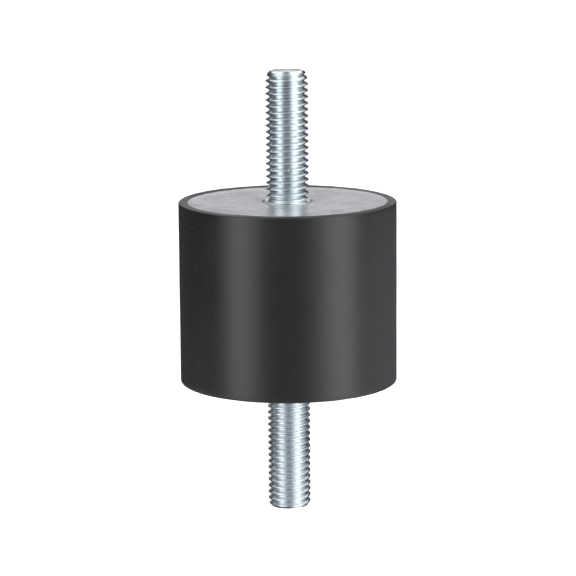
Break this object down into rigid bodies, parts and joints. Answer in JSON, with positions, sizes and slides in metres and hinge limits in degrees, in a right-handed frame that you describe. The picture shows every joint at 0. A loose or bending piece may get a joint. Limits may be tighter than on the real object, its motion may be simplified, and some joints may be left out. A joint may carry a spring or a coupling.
{
  "type": "rubber buffer",
  "caption": "Cylindrical rubber buffer with a steel plate bonded flush into each end and a coaxial threaded stud standing out of each plate.",
  "frame": {"origin": "centre of the lower seat, the outer face of the lower plate, on the axis of the studs", "axes": "+Z along the common axis of the studs, from the lower stud to the upper stud"},
  "size_m": [0.06, 0.06, 0.122],
  "materials": {
    "rubber": "moulded black rubber, satin",
    "zinc_plate": "zinc-plated sheet steel, bright with faint blotches",
    "zinc_stud": "zinc-plated rolled thread, bright with a faint blue tint"
  },
  "bodies": {
    "root": {"rubber_body": "rubber", "upper_plate": "zinc_plate", "lower_plate": "zinc_plate", "upper_stud": "zinc_stud", "lower_stud": "zinc_stud"}
  },
  "joints": []
}
